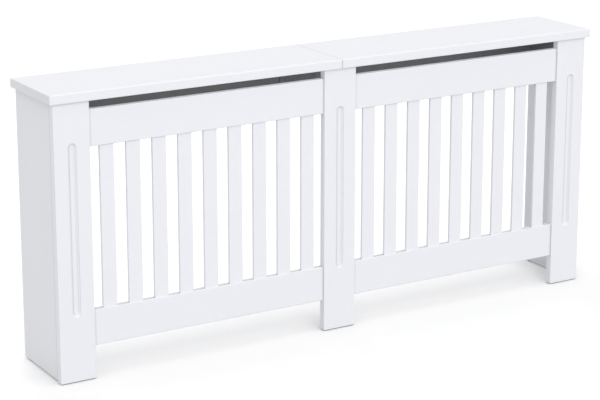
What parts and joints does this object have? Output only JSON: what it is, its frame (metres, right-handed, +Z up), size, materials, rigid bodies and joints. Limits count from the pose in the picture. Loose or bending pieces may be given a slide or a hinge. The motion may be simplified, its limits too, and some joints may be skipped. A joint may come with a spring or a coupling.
{
  "type": "radiator cover cabinet",
  "caption": "Free-standing radiator cover with a flat shelf, fluted posts and two open bays of upright slats, made of white painted board.",
  "frame": {"origin": "on the floor, under the middle of the shelf", "axes": "+X to the right along the shelf, +Y to the wall behind, +Z up; the slatted front faces -Y"},
  "size_m": [1.72, 0.25, 0.77],
  "materials": {
    "painted_board": "cool white semi-gloss paint on MDF",
    "zinc_steel": "bright zinc-plated steel",
    "cam_zinc": "die-cast zinc",
    "block_plastic": "moulded white plastic",
    "glide_plastic": "moulded pale grey plastic"
  },
  "bodies": {
    "root": {"back_rail_left": "painted_board", "back_rail_right": "painted_board", "back_rail_splice": "zinc_steel", "bottom_rail_left": "painted_board", "bottom_rail_right": "painted_board", "cam_bolt_bottom_left_inner": "zinc_steel", "cam_bolt_bottom_left_outer": "zinc_steel", "cam_bolt_bottom_right_inner": "zinc_steel", "cam_bolt_bottom_right_outer": "zinc_steel", "cam_bolt_top_left_inner": "zinc_steel", "cam_bolt_top_left_outer": "zinc_steel", "cam_bolt_top_right_inner": "zinc_steel", "cam_bolt_top_right_outer": "zinc_steel", "cam_nut_bottom_left_inner": "cam_zinc", "cam_nut_bottom_left_outer": "cam_zinc", "cam_nut_bottom_right_inner": "cam_zinc", "cam_nut_bottom_right_outer": "cam_zinc", "cam_nut_top_left_inner": "cam_zinc", "cam_nut_top_left_outer": "cam_zinc", "cam_nut_top_right_inner": "cam_zinc", "cam_nut_top_right_outer": "cam_zinc", "centre_post_stiffener": "painted_board", "glide_left": "glide_plastic", "glide_right": "glide_plastic", "post_centre": "painted_board", "post_left": "painted_board", "post_right": "painted_board", "shelf_block_back_left": "block_plastic", "shelf_block_back_right": "block_plastic", "shelf_block_front_left": "block_plastic", "shelf_block_front_right": "block_plastic", "shelf_joining_plate": "zinc_steel", "side_panel_left": "painted_board", "side_panel_right": "painted_board", "slat_left_1": "painted_board", "slat_left_2": "painted_board", "slat_left_3": "painted_board", "slat_left_4": "painted_board", "slat_left_5": "painted_board", "slat_left_6": "painted_board", "slat_left_7": "painted_board", "slat_left_8": "painted_board", "slat_left_9": "painted_board", "slat_right_1": "painted_board", "slat_right_2": "painted_board", "slat_right_3": "painted_board", "slat_right_4": "painted_board", "slat_right_5": "painted_board", "slat_right_6": "painted_board", "slat_right_7": "painted_board", "slat_right_8": "painted_board", "slat_right_9": "painted_board", "top_panel_left": "painted_board", "top_panel_right": "painted_board", "top_rail_left": "painted_board", "top_rail_right": "painted_board", "wall_bracket_high_left": "zinc_steel", "wall_bracket_high_right": "zinc_steel", "wall_bracket_low_left": "zinc_steel", "wall_bracket_low_right": "zinc_steel"}
  },
  "joints": []
}
